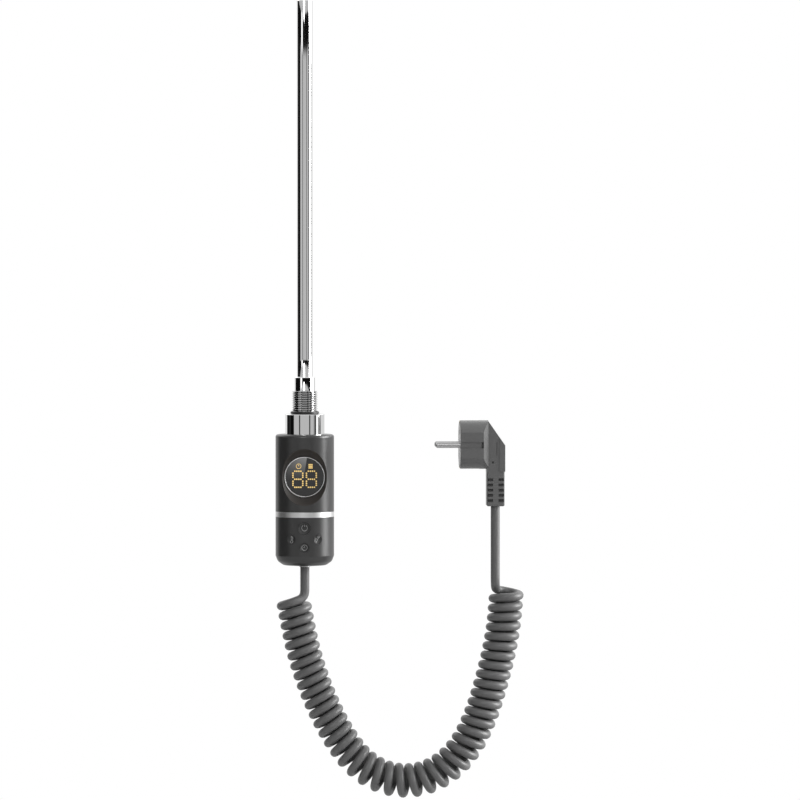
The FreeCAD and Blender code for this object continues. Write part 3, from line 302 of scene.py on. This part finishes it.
def satin_metal(name, color, roughness):
    """Bead-blasted or brushed metal."""
    shader = Shader(name, color, roughness, Metallic=1.0)
    marks = shader.noise(1500.0, 2.0, shader.stretched(BRUSHED))
    shader.tint(shader.noise(200.0), shade(color, 0.96), color)
    shader.rough(shader.noise(40.0), roughness - 0.01, roughness + 0.01)
    shader.bump(marks, BRUSHED_DEPTH, 0.02)
    return shader.material


def rubber(name, color, roughness=0.55):
    """Soft rubber or silicone with a dull, slightly mottled skin."""
    shader = Shader(name, color, roughness)
    shader.tint(shader.noise(300.0), shade(color, 0.8), shade(color, 1.2))
    shader.rough(shader.noise(700.0), roughness - 0.08, roughness + 0.1)
    shader.bump(shader.noise(2200.0, 2.0), 0.00002, 0.4)
    return shader.material


def speckled(name, color):
    """Ceramic or pressed powder."""
    shader = Shader(name, color, 0.75)
    shader.tint(shader.noise(1800.0, 5.0), shade(color, 0.75), shade(color, 1.1))
    shader.bump(shader.noise(2500.0, 4.0), 0.00004, 0.6)
    return shader.material


def circuit_board(name):
    """Green solder mask over faint copper traces."""
    shader = Shader(name, (0.02, 0.12, 0.05), 0.35)
    traces = shader.noise(420.0, 1.0, shader.stretched((1.0, 1.0, 0.3)))
    copper = shader.spread(traces, 0.0, 1.0, 0.48, 0.52)
    shader.tint(copper, (0.015, 0.10, 0.04), (0.03, 0.19, 0.08))
    shader.bump(traces, 0.00003, 0.5)
    return shader.material


def lens_glass():
    """Smoked glass with a painted reflection that is lighter towards its upper left and has a
    sharp edge.
    """
    shader = Shader("smoked_glass_painted_reflection", (0.02, 0.02, 0.02), 0.08, Coat_Weight=0.6, Coat_Roughness=0.03)
    low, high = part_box("display_lens")
    centre_x = (low[0] + high[0]) / 2
    centre_z = (low[2] + high[2]) / 2
    radius = (high[0] - low[0]) / 2
    split = shader.node("ShaderNodeSeparateXYZ", Vector=shader.place())
    across = shader.math("DIVIDE", shader.math("SUBTRACT", split.outputs["X"], centre_x), radius)
    up = shader.math("DIVIDE", shader.math("SUBTRACT", split.outputs["Z"], centre_z), radius)
    # Painted reflection: a light patch in the base colour towards the upper left, cut off by a
    # sharp sloping edge.
    edge = shader.math("SUBTRACT", shader.math("MULTIPLY", up, REFLECTION_EDGE_SLOPE), REFLECTION_EDGE_SHIFT)
    reflection_side = shader.spread(shader.math("SUBTRACT", edge, across), 0.0, 1.0, -0.01, 0.01)
    height = shader.spread(up, 0.0, 1.0, -0.2, 0.95)
    nearness = shader.spread(across, 0.45, 1.0, -0.9, 0.1)
    painted_reflection = shader.math("MULTIPLY", shader.math("MULTIPLY", reflection_side, nearness),
                       shader.math("POWER", height, 1.4))
    shader.tint(painted_reflection, GLASS_DARK, GLASS_PAINTED_REFLECTION)
    shader.rough(shader.noise(120.0), 0.06, 0.1)
    return shader.material


def lit(name, color, strength):
    """A lit sign seen through the glass, a little dimmer towards its right."""
    shader = Shader(name, shade(color, 0.5), 0.4, Emission_Strength=strength)
    split = shader.node("ShaderNodeSeparateXYZ", Vector=shader.place())
    across = shader.spread(split.outputs["X"], 0.0, 1.0, -0.006, 0.008)
    uneven = shader.math("ADD", across, shader.spread(shader.noise(900.0), -0.1, 0.1))
    shader.tint(uneven, shade(color, 0.5), shade(color, 0.4))
    shader.feed(shader.surface.inputs["Emission Color"],
                shader.ramp(uneven, [(0.0, color), (1.0, shade(color, 0.75))]))
    return shader.material


def make_materials():
    """Every material, by the slot of the record that it finishes."""
    chrome = (0.93, 0.93, 0.93)
    return {
        "steel_sheath": drawn_sheath(chrome),
        "chromed_fitting": threaded_metal(chrome),
        "chromed_sleeve": polished_metal("chromed_sleeve", chrome, 0.025),
        "pin_metal": satin_metal("plated_pin", (0.5, 0.5, 0.5), 0.3),
        "satin_trim": satin_metal("satin_trim", (0.72, 0.72, 0.72), 0.4),
        "bezel_metal": satin_metal("satin_bezel", (1.0, 1.0, 1.0), 0.35),
        "cord_ring_metal": satin_metal("satin_ring", (0.7, 0.7, 0.7), 0.35),
        "screw_steel": satin_metal("zinc_screw", (0.55, 0.55, 0.56), 0.35),
        "ring_steel": satin_metal("spring_steel", (0.5, 0.5, 0.5), 0.4),
        "nickel_pin": satin_metal("nickel_pin", (0.62, 0.6, 0.56), 0.3),
        "tinned_crimp": satin_metal("tinned_crimp", (0.7, 0.7, 0.7), 0.35),
        "sensor_can": satin_metal("sensor_can", (0.6, 0.6, 0.6), 0.35),
        "can_metal": satin_metal("capacitor_can", (0.35, 0.36, 0.45), 0.35),
        "resistance_wire": satin_metal("resistance_wire", (0.3, 0.28, 0.27), 0.45),
        "fuse_can": satin_metal("fuse_can", (0.75, 0.6, 0.3), 0.3),
        "earth_metal": satin_metal("earth_brass", (0.75, 0.62, 0.36), 0.3),
        "magnesia": speckled("magnesia", (0.8, 0.78, 0.74)),
        "ceramic": speckled("ceramic", (0.75, 0.72, 0.66)),
        "end_seal": rubber("end_seal", (0.3, 0.07, 0.05)),
        "seal_rubber": rubber("seal_rubber", (0.012, 0.012, 0.012), 0.4),
        "silicone": rubber("silicone", (0.2, 0.2, 0.2)),
        "lead_insulation": rubber("lead_insulation", (0.2, 0.06, 0.03), 0.45),
        "head_plastic": plastic("head_plastic", HEAD_COLOR, HEAD_ROUGHNESS, IOR=HEAD_IOR),
        "button_plastic": plastic("button_plastic", (0.025, 0.025, 0.025), 0.5, IOR=1.5),
        "plug_plastic": plastic("plug_plastic", (0.115, 0.115, 0.115), 0.36),
        "cord_jacket": plastic("cord_jacket", (0.115, 0.115, 0.115), 0.42),
        "module_plastic": plastic("module_plastic", (0.04, 0.04, 0.04)),
        "relay_plastic": plastic("relay_plastic", (0.02, 0.07, 0.3), 0.3),
        "chip_plastic": plastic("chip_plastic", (0.012, 0.012, 0.012), 0.5),
        "block_plastic": plastic("block_plastic", (0.05, 0.22, 0.09)),
        "switch_plastic": plastic("switch_plastic", (0.03, 0.03, 0.03)),
        "clamp_plastic": plastic("clamp_plastic", (0.05, 0.05, 0.05)),
        "carrier_plastic": plastic("carrier_plastic", (0.5, 0.5, 0.5), 0.4),
        "circuit_board": circuit_board("circuit_board"),
        "dark_glass": lens_glass(),
        "lit_amber": lit("lit_amber", (0.82, 0.57, 0.2), 0.95),
    }


def head_shell():
    """The head's plastic, with a duller, slightly browner finish inside the dish."""
    shader = Shader("head_shell", HEAD_COLOR, HEAD_ROUGHNESS, IOR=HEAD_IOR)
    offset = shader.node("ShaderNodeVectorMath", operation="DISTANCE")
    shader.feed(offset.inputs[0], shader.place())
    shader.feed(offset.inputs[1], DISH_CENTRE)
    outside = shader.math("GREATER_THAN", offset.outputs["Value"], DISH_RADIUS)
    uneven = shader.spread(shader.noise(90.0), 0.0, 0.06)
    shader.tint(shader.math("SUBTRACT", outside, uneven), DISH_COLOR, HEAD_COLOR)
    shader.feed(shader.surface.inputs["Roughness"],
                shader.spread(outside, DISH_ROUGHNESS, HEAD_ROUGHNESS, 0.0, 1.0))
    shader.bump(shader.noise(MOULD_GRAIN, 2.0), MOULD_DEPTH, MOULD_STRENGTH)
    return shader.material


def printed():
    """Pale grey ink of the button signs."""
    shader = Shader("printed_sign", (0.45, 0.45, 0.45), 0.6)
    shader.tint(shader.noise(800.0), (0.4, 0.4, 0.4), (0.5, 0.5, 0.5))
    shader.rough(shader.noise(500.0), 0.55, 0.7)
    return shader.material


def paint_nodes(materials):
    """Give every CAD node its material."""
    for entry in frame["record"]["subparts"]:
        data = NODES[entry["node"]].data
        data.materials.clear()
        data.materials.append(materials[entry["material_slot"]])
    NODES["upper_housing"].data.materials[0] = head_shell()


# ---------------------------------------------------------------------------------------------
# Signs on the buttons
# ---------------------------------------------------------------------------------------------
ARC_STEP = 15  # degrees
ARC_FEWEST = 4
SIGN_RADIUS = 0.17  # mm
SIGN_ROUNDNESS = 2
SIGN_START = 0.06  # metres out from the axis, in front of every button


def arc(radius, start, end, across=0.0, up=0.0):
    """Points of an arc in mm, between two angles in degrees from straight up."""
    count = max(ARC_FEWEST, round(abs(end - start) / ARC_STEP))
    points = []
    for step in range(count + 1):
        angle = math.radians(start + (end - start) * step / count)
        points.append((across + radius * math.sin(angle), up + radius * math.cos(angle)))
    return points


SIGNS = {
    # node: (degrees round from the front, strokes in mm about the middle of the button)
    "power_button": (0.0, [arc(2.3, 28, 332), [(0.0, 2.7), (0.0, 1.1)]]),
    "timer_button": (0.0, [arc(2.2, 0, 360), [(-1.3, 0.0), (0.0, 0.0), (0.0, 1.4)]]),
    "temperature_button": (-27.4, [
        [(-0.5, -0.9), (-0.5, 2.2)],
        [(0.5, -0.9), (0.5, 2.2)],
        arc(0.5, -90, 90, 0.0, 2.2),
        arc(1.1, 30, 330, 0.0, -1.8),
        [(0.9, 0.6), (1.6, 0.6)],
        [(0.9, 1.7), (1.6, 1.7)],
    ]),
    "mode_button": (27.4, [
        [(-1.4, -2.5), (0.9, 1.1)],
        [(0.3, 1.4), (1.9, 1.4), (1.9, 2.7), (0.3, 2.7), (0.3, 1.4)],
        [(-1.9, 0.4), (-0.5, 0.4)],
    ]),
}


def button_signs(ink):
    """Thin line signs that lie in the dished faces of the buttons and move with them."""
    for name, (degrees, strokes) in SIGNS.items():
        mesh = NODES[name].data
        face = BVHTree.FromPolygons([vertex.co for vertex in mesh.vertices],
                                    [polygon.vertices for polygon in mesh.polygons])
        low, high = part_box(name)
        turn = math.radians(degrees)
        out = Vector((math.sin(turn), -math.cos(turn), 0.0))
        across = Vector((math.cos(turn), math.sin(turn), 0.0))
        middle = Vector((0.0, 0.0, (low[2] + high[2]) / 2))
        data = bpy.data.curves.new(f"{name}_sign", "CURVE")
        data.dimensions = "3D"
        data.bevel_depth = SIGN_RADIUS * MM
        data.bevel_resolution = SIGN_ROUNDNESS
        data.use_fill_caps = True
        for stroke in strokes:
            spline = data.splines.new("POLY")
            spline.points.add(len(stroke) - 1)
            for point, (side, up) in zip(spline.points, stroke):
                start = middle + (across * side + Vector((0, 0, up))) * MM + out * SIGN_START
                hit = face.ray_cast(start, -out)[0]
                point.co = (*hit, 1.0)
        sign = bpy.data.objects.new(f"{name}_sign", data)
        bpy.context.scene.collection.objects.link(sign)
        data.materials.append(ink)
        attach(sign, name)


# ---------------------------------------------------------------------------------------------
# Cord
# ---------------------------------------------------------------------------------------------
# Middle line of the hanging coil, as (x, z) in mm, from the heater's side to the plug's side.
COIL_ROUTE = [
    (-11.4, -141.3),
    (-5.2, -177.3),
    (1.9, -205.3),
    (12.2, -233.3),
    (26.0, -261.3),
    (44.0, -285.8),
    (66.5, -298.1),
    (91.5, -299.1),
    (113.5, -289.3),
    (130.4, -271.3),
    (142.3, -246.3),
    (150.8, -218.3),
    (157.7, -190.3),
    (161.8, -163.3),
    (163.6, -131.3),
]
# Depth of that line, the heights where the turns begin and end, and radii, in mm.
COIL_Y = 4.4
COIL_TOP_LEFT = -152.0
COIL_TOP_RIGHT = -143.4
COIL_MEAN_RADIUS = 10.65
CORD_RADIUS = 3.55
# The turns, their control points, and how far round from the side the first and the last one are.
COIL_TURNS = 44
POINTS_PER_TURN = 16
START_ANGLE = math.radians(24.4)
END_ANGLE = math.radians(26.8)
# Fineness of the curves: along the middle line, along the cord and round the cord.
GUIDE_STEPS = 64
CORD_STEPS = 6
CORD_ROUNDNESS = 5
# Relative distance from turn to turn: on the straight runs, its drift from one end to the other,
# what the bend adds, and the bend's share of the coil.
RUN_PITCH = 8.25
PITCH_DRIFT = 0.1
BEND_PITCH = 1.75
BEND_SHARE = 0.16
# Thickness of the cord as a share of its radius, which makes up for the curve's cut corners.
COILED_SHARE = 0.965
STRAIGHT_SHARE = 1.04
# Where the straight ends join the coil, in metres: control points below the head, the rise of the
# bend under the plug, control points above it, and how far the cord goes into the boot.
HEAD_DROPS = (0.0, 0.012, 0.026)
BEND_RISE = 0.001
PLUG_DROPS = (0.045, 0.02)
CORD_IN_BOOT = 0.004
# Control points of the coil that give way to the bend at each end.
BEND_POINTS = 3


def nurbs(name, points, radius=0.0):
    """A smooth open curve through its control points, in metres."""
    data = bpy.data.curves.new(name, "CURVE")
    data.dimensions = "3D"
    data.resolution_u = CORD_STEPS
    data.bevel_depth = radius
    data.bevel_resolution = CORD_ROUNDNESS
    data.use_fill_caps = True
    spline = data.splines.new("NURBS")
    spline.points.add(len(points) - 1)
    for point, place in zip(spline.points, points):
        point.co = (*place, 1.0)
    spline.order_u = 3
    spline.use_endpoint_u = True
    piece = bpy.data.objects.new(name, data)
    bpy.context.scene.collection.objects.link(piece)
    return piece


def middle_line():
    """Points read from the coil's middle line, between the heights of its two ends."""
    guide = nurbs("coil_guide", [Vector((x, COIL_Y, z)) * MM for x, z in COIL_ROUTE])
    guide.data.resolution_u = GUIDE_STEPS
    bpy.context.view_layer.update()
    mesh = bpy.data.meshes.new_from_object(guide)
    points = [vertex.co.copy() for vertex in mesh.vertices]
    bpy.data.objects.remove(guide)
    bpy.data.meshes.remove(mesh)
    lowest = min(range(len(points)), key=lambda index: points[index].z)
    left = [point for point in points[:lowest] if point.z <= COIL_TOP_LEFT * MM]
    right = [point for point in points[lowest:] if point.z <= COIL_TOP_RIGHT * MM]
    return left + right


def along(points, lengths, distance):
    """Place and direction at a distance along a line of points."""
    index = 1
    while index < len(points) - 1 and lengths[index] < distance:
        index += 1
    span = lengths[index] - lengths[index - 1]
    share = (distance - lengths[index - 1]) / span
    step = points[index] - points[index - 1]
    return points[index - 1] + step * share, step.normalized()


def turn_pitch(share):
    """Relative distance from turn to turn: the turns open out round the bend."""
    bend = math.exp(-((share - 0.5) / BEND_SHARE) ** 4)
    return RUN_PITCH + PITCH_DRIFT * (1 - 2 * share) + BEND_PITCH * bend


def helix_points():
    """Control points of the coil's turns, round the middle line."""
    line = middle_line()
    lengths = [0.0]
    for before, after in zip(line, line[1:]):
        lengths.append(lengths[-1] + (after - before).length)
    steps = COIL_TURNS * POINTS_PER_TURN
    travelled = [0.0]
    for step in range(steps):
        travelled.append(travelled[-1] + turn_pitch((step + 0.5) / steps))
    total_angle = COIL_TURNS * math.tau + END_ANGLE - START_ANGLE
    # The curve passes inside its control points, so they stand a little further out.
    radius = COIL_MEAN_RADIUS * MM / math.cos(math.pi / POINTS_PER_TURN)
    front = Vector((0, -1, 0))
    points = []
    for step, distance in enumerate(travelled):
        centre, way = along(line, lengths, lengths[-1] * distance / travelled[-1])
        side = front.cross(way)
        angle = START_ANGLE + total_angle * step / steps
        points.append(centre + (side * math.cos(angle) + front * math.sin(angle)) * radius)
    return points


def make_cord(materials):
    """The whole cord: straight out of the head, the coil's turns, and straight up to the plug."""
    low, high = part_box("cord_tail_heater")
    start_x = (low[0] + high[0]) / 2
    start_y = (low[1] + high[1]) / 2
    start_z = high[2]
    plug_low, plug_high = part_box("cord_tail_plug")
    end_x = (plug_low[0] + plug_high[0]) / 2
    end_z = plug_high[2]
    helix = helix_points()
    first = [Vector((start_x, start_y, start_z - drop)) for drop in HEAD_DROPS]
    first.append(Vector((start_x, start_y, helix[0].z)))
    last = [Vector((end_x, 0.0, helix[-1].z + BEND_RISE))]
    last += [Vector((end_x, 0.0, end_z - drop)) for drop in (*PLUG_DROPS, -CORD_IN_BOOT)]
    turns = helix[BEND_POINTS:-BEND_POINTS]
    cord = nurbs("mains_cord", first + turns + last, CORD_RADIUS * MM)
    points = cord.data.splines[0].points
    for index, point in enumerate(points):
        coiled = len(first) <= index < len(points) - len(last)
        point.radius = COILED_SHARE if coiled else STRAIGHT_SHARE
    cord.data.materials.append(materials["cord_jacket"])
    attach(cord, "head")
    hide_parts("cord_tail_heater", "curly_cord", "cord_tail_plug")


# ---------------------------------------------------------------------------------------------
# Surroundings
# ---------------------------------------------------------------------------------------------
# Degrees from the front, positive to the right, and how bright the light there is: level with the
# object, in a thin band just above that, in a second band over the first, and higher up.
LEVEL_PANELS = [
    (-180, 0.8), (-129, 0.8), (-126, 0.01), (-103, 0.01), (-101, 0.025), (-92, 0.025),
    (-90, 0.004), (-67, 0.004), (-65, 0.5), (-34, 0.5), (-33, 0.02), (-27, 0.02), (-26, 0.5),
    (26, 0.5), (27, 0.02), (33, 0.02), (34, 0.5), (53, 0.5), (55, 0.3), (60, 0.3), (61.5, 0.01),
    (70, 0.01), (72, 1.1), (84, 1.1), (87, 0.45), (91, 0.6), (94, 1.1), (102, 1.1), (104, 0.06),
    (108, 0.06), (110, 0.7), (180, 0.7),
]
BAND_PANELS = [
    (-180, 0.74), (-129, 0.74), (-126, 0.004), (-51, 0.004), (-48, 1.3), (-31, 1.3), (-28, 0.004),
    (68, 0.004), (72, 1.1), (87, 1.1), (91, 0.9), (105, 0.9), (110, 0.7), (180, 0.7),
]
OVER_BAND_PANELS = [
    (-180, 1.3), (-129, 1.3), (-124, 0.1), (-112, 0.1), (-104, 0.5), (66, 0.5), (72, 0.6),
    (104, 0.6), (112, 1.1), (180, 1.1),
]
HIGH_PANELS = [
    (-180, 1.6), (-112, 1.5), (-106, 0.9), (-92, 0.8), (-84, 0.02), (-68, 0.02), (-60, 0.2),
    (-1, 0.2), (3, 0.65), (66, 0.65), (72, 0.8), (108, 0.8), (116, 1.5), (180, 1.5),
]
# Where one height of light gives way to the next, as the sine of the elevation.
BAND_FOOT = (0.075, 0.1)
BAND_HEAD = (0.215, 0.225)
HIGH_FOOT = (0.31, 0.36)
CAP = (0.6, 0.8)
CAP_LIGHT = 0.75


def studio_light():
    """Tall soft panels and dark flags round the object, seen only in its reflections."""
    world = bpy.data.worlds.new("studio")
    bpy.context.scene.world = world
    world.use_nodes = True
    tree = world.node_tree
    tree.nodes.clear()

    def node(kind, **settings):
        made = tree.nodes.new(kind)
        for name, value in settings.items():
            setattr(made, name, value)
        return made

    place = node("ShaderNodeTexCoord")
    split = node("ShaderNodeSeparateXYZ")
    tree.links.new(place.outputs["Generated"], split.inputs[0])
    back = node("ShaderNodeMath", operation="MULTIPLY")
    back.inputs[1].default_value = -1.0
    tree.links.new(split.outputs["Y"], back.inputs[0])
    angle = node("ShaderNodeMath", operation="ARCTAN2")
    tree.links.new(split.outputs["X"], angle.inputs[0])
    tree.links.new(back.outputs[0], angle.inputs[1])
    turn = node("ShaderNodeMapRange")
    turn.inputs["From Min"].default_value = -math.pi
    turn.inputs["From Max"].default_value = math.pi
    tree.links.new(angle.outputs[0], turn.inputs["Value"])

    def ring(panels):
        """The light all the way round, at one height."""
        ramp = node("ShaderNodeValToRGB")
        elements = ramp.color_ramp.elements
        while len(elements) < len(panels):
            elements.new(1.0)
        for element, (degrees, level) in zip(elements, panels):
            element.position = (degrees + 180) / 360
            element.color = (level, level, level, 1.0)
        tree.links.new(turn.outputs["Result"], ramp.inputs["Fac"])
        return ramp.outputs["Color"]

    def above(height, limits, low, high):
        """One light below the limits and another above them."""
        share = node("ShaderNodeMapRange")
        share.inputs["From Min"].default_value = limits[0]
        share.inputs["From Max"].default_value = limits[1]
        tree.links.new(height, share.inputs["Value"])
        mix = node("ShaderNodeMix", data_type="RGBA")
        tree.links.new(share.outputs["Result"], mix.inputs["Factor"])
        for socket, light in ((mix.inputs[6], low), (mix.inputs[7], high)):
            if isinstance(light, float):
                socket.default_value = (light, light, light, 1.0)
            else:
                tree.links.new(light, socket)
        return mix.outputs[2]

    steepness = node("ShaderNodeMath", operation="ABSOLUTE")
    tree.links.new(split.outputs["Z"], steepness.inputs[0])
    light = above(split.outputs["Z"], BAND_FOOT, ring(LEVEL_PANELS), ring(BAND_PANELS))
    light = above(split.outputs["Z"], BAND_HEAD, light, ring(OVER_BAND_PANELS))
    light = above(split.outputs["Z"], HIGH_FOOT, light, ring(HIGH_PANELS))
    light = above(steepness.outputs[0], CAP, light, CAP_LIGHT)

    seen = node("ShaderNodeLightPath")
    lights = node("ShaderNodeBackground")
    tree.links.new(light, lights.inputs["Color"])
    plain = node("ShaderNodeBackground")
    plain.inputs["Color"].default_value = (1.0, 1.0, 1.0, 1.0)
    choose = node("ShaderNodeMixShader")
    tree.links.new(seen.outputs["Is Camera Ray"], choose.inputs["Fac"])
    tree.links.new(lights.outputs[0], choose.inputs[1])
    tree.links.new(plain.outputs[0], choose.inputs[2])
    output = node("ShaderNodeOutputWorld")
    tree.links.new(choose.outputs[0], output.inputs["Surface"])


def sun(name, azimuth, elevation, strength, width):
    """A soft distant light; azimuth is in degrees from the front, positive to the right."""
    data = bpy.data.lights.new(name, "SUN")
    data.energy = strength
    data.angle = math.radians(width)
    light = bpy.data.objects.new(name, data)
    bpy.context.scene.collection.objects.link(light)
    turn = math.radians(azimuth)
    rise = math.radians(elevation)
    level = math.cos(rise)
    towards = Vector((math.sin(turn) * level, -math.cos(turn) * level, math.sin(rise)))
    light.rotation_euler = towards.to_track_quat("Z", "Y").to_euler()


def key_lights():
    """A key from the right, and a weaker one from the front and above."""
    sun("right_key", azimuth=92, elevation=18, strength=4.6, width=40)
    sun("front_key", azimuth=-8, elevation=22, strength=0.55, width=22)


# Metres below the cord, from the middle to each edge, and across to the object's middle.
FLOOR_DROP = 0.09
FLOOR_HALF = 0.8
FLOOR_SHIFT = 0.07


def make_floor():
    """A plain pale floor below the hanging cord."""
    height = CAD_BOX[0][2] - FLOOR_DROP
    corners = [(-FLOOR_HALF, -FLOOR_HALF), (FLOOR_HALF, -FLOOR_HALF),
               (FLOOR_HALF, FLOOR_HALF), (-FLOOR_HALF, FLOOR_HALF)]
    mesh = bpy.data.meshes.new("floor")
    mesh.from_pydata([(x + FLOOR_SHIFT, y, height) for x, y in corners], [], [(0, 1, 2, 3)])
    floor = bpy.data.objects.new("floor", mesh)
    bpy.context.scene.collection.objects.link(floor)
    shader = Shader("pale_floor", (0.5, 0.5, 0.5), 0.8)
    shader.tint(shader.noise(6.0), (0.49, 0.49, 0.49), (0.51, 0.51, 0.51))
    mesh.materials.append(shader.material)


# ---------------------------------------------------------------------------------------------
# The scene
# ---------------------------------------------------------------------------------------------
make_camera()
materials = make_materials()
make_cord(materials)
paint_nodes(materials)
button_signs(printed())
studio_light()
key_lights()
make_floor()
bpy.context.scene.view_settings.view_transform = "Standard"
